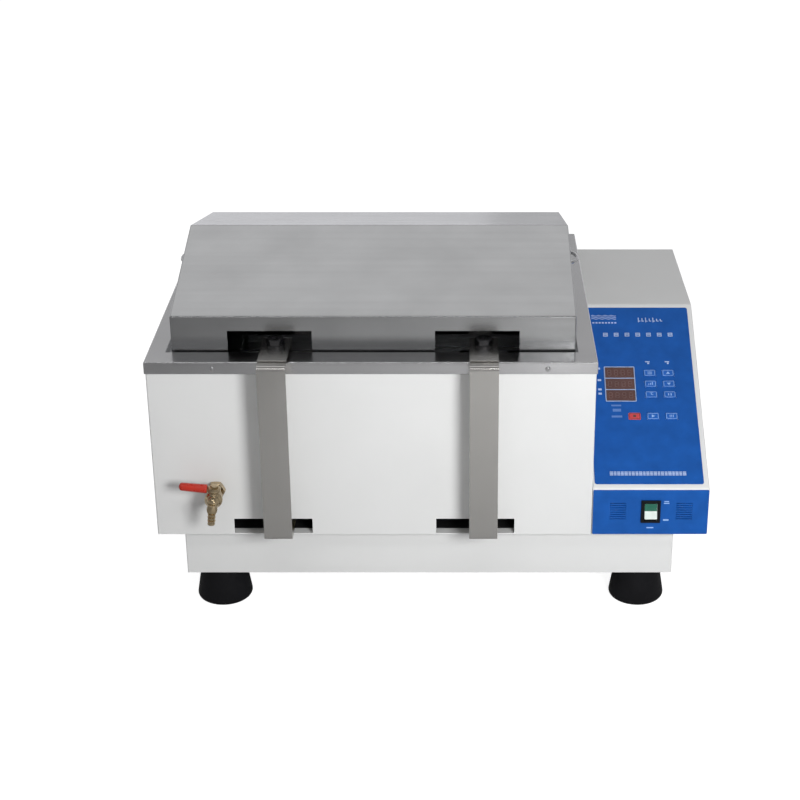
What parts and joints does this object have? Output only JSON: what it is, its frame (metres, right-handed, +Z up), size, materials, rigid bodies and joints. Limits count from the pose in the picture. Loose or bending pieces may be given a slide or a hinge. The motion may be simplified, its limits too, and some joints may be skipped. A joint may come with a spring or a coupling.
{
  "type": "shaking water bath",
  "caption": "Bench orbital shaking water bath: stainless tank in a white case with a gabled lift-off lid, strap arms carrying a tray, a sloped side console, a drain valve and rubber feet.",
  "frame": {"origin": "bottom centre of the whole object, on the bench under its feet", "axes": "+Z up, +Y from the operator into the machine, +X to the operator's right, along the bath towards the console"},
  "size_m": [0.7136, 0.58, 0.4585],
  "materials": {
    "powder_white": "fine orange-peel powder coat",
    "zinc_steel": "zinc plated",
    "black_rubber": "moulded matte",
    "lid_stainless": "satin rolled sheet",
    "polished_stainless": "polished",
    "tank_stainless": "satin",
    "arm_stainless": "satin, brushed along its length",
    "dark_steel": "blackened",
    "mineral_wool": "fibrous",
    "blue_film": "satin membrane film",
    "dark_window": "tinted clear window",
    "blue_key": "domed membrane key",
    "red_key": "domed membrane key",
    "circuit_board": "solder mask",
    "black_plastic": "moulded satin",
    "green_lens": "translucent lens",
    "brass": "turned and cast",
    "red_vinyl": "dipped sleeve"
  },
  "bodies": {
    "base": {"plinth": "powder_white", "plinth_bottom_plate": "zinc_steel", "foot_front_left": "black_rubber", "foot_front_right": "black_rubber", "foot_rear_left": "black_rubber", "foot_rear_right": "black_rubber", "outer_case": "powder_white", "tank": "tank_stainless", "tank_insulation": "mineral_wool", "rim_frame": "polished_stainless", "heater_element": "dark_steel", "heater_guard": "tank_stainless", "temperature_probe": "polished_stainless", "console_body": "powder_white", "console_rear_panel": "powder_white", "control_overlay": "blue_film", "lower_overlay": "blue_film", "display_window": "dark_window", "control_board": "circuit_board", "switch_bezel": "black_plastic", "power_inlet": "black_plastic", "drain_nipple": "brass", "drain_valve_body": "brass", "drive_belt": "black_rubber", "drive_motor": "dark_steel"},
    "main_crank": {"main_crank": "zinc_steel", "crank_pulley": "zinc_steel"},
    "shaking_frame": {"platform": "zinc_steel", "arm_strap_front_left": "arm_stainless", "arm_bracket_front_left": "arm_stainless", "arm_bolt_front_left": "dark_steel", "arm_strap_front_right": "arm_stainless", "arm_bracket_front_right": "arm_stainless", "arm_bolt_front_right": "dark_steel", "arm_strap_rear_left": "arm_stainless", "arm_bracket_rear_left": "arm_stainless", "arm_bolt_rear_left": "dark_steel", "arm_strap_rear_right": "arm_stainless", "arm_bracket_rear_right": "arm_stainless", "arm_bolt_rear_right": "dark_steel", "shaking_tray": "tank_stainless"},
    "idler_crank_front_left": {"idler_crank_front_left": "zinc_steel"},
    "idler_crank_front_right": {"idler_crank_front_right": "zinc_steel"},
    "idler_crank_rear": {"idler_crank_rear": "zinc_steel"},
    "motor_pulley": {"motor_pulley": "zinc_steel"},
    "lid": {"lid": "lid_stainless", "lid_handle_left": "polished_stainless", "lid_handle_right": "polished_stainless"},
    "drain_lever": {"drain_lever": "brass", "drain_lever_sleeve": "red_vinyl"},
    "power_rocker": {"power_rocker": "green_lens"},
    "key_set": {"key_set": "blue_key"},
    "key_up": {"key_up": "blue_key"},
    "key_speed": {"key_speed": "blue_key"},
    "key_down": {"key_down": "blue_key"},
    "key_timer": {"key_timer": "blue_key"},
    "key_memory": {"key_memory": "blue_key"},
    "key_stop": {"key_stop": "red_key"},
    "key_start": {"key_start": "blue_key"},
    "key_heat": {"key_heat": "blue_key"}
  },
  "joints": [
    {"name": "crank_spin", "type": "hinge", "parent": "base", "child": "main_crank", "pos_m": [-0.07425, 0.006, 0.123], "axis": [0, 0, 1], "continuous": true},
    {"name": "platform_orbit", "type": "hinge", "parent": "main_crank", "child": "shaking_frame", "pos_m": [-0.06425, 0.006, 0.13], "axis": [0, 0, 1], "continuous": true},
    {"name": "idler_front_left_spin", "type": "hinge", "parent": "base", "child": "idler_crank_front_left", "pos_m": [-0.22425, -0.119, 0.123], "axis": [0, 0, 1], "continuous": true},
    {"name": "idler_front_right_spin", "type": "hinge", "parent": "base", "child": "idler_crank_front_right", "pos_m": [0.07575, -0.119, 0.123], "axis": [0, 0, 1], "continuous": true},
    {"name": "idler_rear_spin", "type": "hinge", "parent": "base", "child": "idler_crank_rear", "pos_m": [-0.07425, 0.136, 0.123], "axis": [0, 0, 1], "continuous": true},
    {"name": "motor_spin", "type": "hinge", "parent": "base", "child": "motor_pulley", "pos_m": [0.22575, 0.006, 0.067], "axis": [0, 0, 1], "continuous": true},
    {"name": "lid_lift", "type": "slide", "parent": "base", "child": "lid", "axis": [0, 0, 1], "range_m": [0, 0.15]},
    {"name": "drain_lever_turn", "type": "hinge", "parent": "base", "child": "drain_lever", "pos_m": [-0.27545, -0.2705, 0.186], "axis": [0.1045, 0, 0.9945], "range_deg": [0, 90]},
    {"name": "power_rocker_tilt", "type": "hinge", "parent": "base", "child": "power_rocker", "pos_m": [0.28205, -0.237, 0.155], "axis": [1, 0, 0], "range_deg": [0, 14]},
    {"name": "key_set_press", "type": "slide", "parent": "base", "child": "key_set", "axis": [0, 0.4937, -0.8696], "range_m": [0, 0.0004], "stiffness_N_per_m": 1000},
    {"name": "key_up_press", "type": "slide", "parent": "base", "child": "key_up", "axis": [0, 0.4937, -0.8696], "range_m": [0, 0.0004], "stiffness_N_per_m": 1000},
    {"name": "key_speed_press", "type": "slide", "parent": "base", "child": "key_speed", "axis": [0, 0.4937, -0.8696], "range_m": [0, 0.0004], "stiffness_N_per_m": 1000},
    {"name": "key_down_press", "type": "slide", "parent": "base", "child": "key_down", "axis": [0, 0.4937, -0.8696], "range_m": [0, 0.0004], "stiffness_N_per_m": 1000},
    {"name": "key_timer_press", "type": "slide", "parent": "base", "child": "key_timer", "axis": [0, 0.4937, -0.8696], "range_m": [0, 0.0004], "stiffness_N_per_m": 1000},
    {"name": "key_memory_press", "type": "slide", "parent": "base", "child": "key_memory", "axis": [0, 0.4937, -0.8696], "range_m": [0, 0.0004], "stiffness_N_per_m": 1000},
    {"name": "key_stop_press", "type": "slide", "parent": "base", "child": "key_stop", "axis": [0, 0.4937, -0.8696], "range_m": [0, 0.0004], "stiffness_N_per_m": 1000},
    {"name": "key_start_press", "type": "slide", "parent": "base", "child": "key_start", "axis": [0, 0.4937, -0.8696], "range_m": [0, 0.0004], "stiffness_N_per_m": 1000},
    {"name": "key_heat_press", "type": "slide", "parent": "base", "child": "key_heat", "axis": [0, 0.4937, -0.8696], "range_m": [0, 0.0004], "stiffness_N_per_m": 1000}
  ],
  "couplings": [
    {"joint": "platform_orbit", "follows": "crank_spin", "ratio": -1},
    {"joint": "idler_front_left_spin", "follows": "crank_spin", "ratio": 1},
    {"joint": "idler_front_right_spin", "follows": "crank_spin", "ratio": 1},
    {"joint": "idler_rear_spin", "follows": "crank_spin", "ratio": 1},
    {"joint": "motor_spin", "follows": "crank_spin", "ratio": 4}
  ]
}
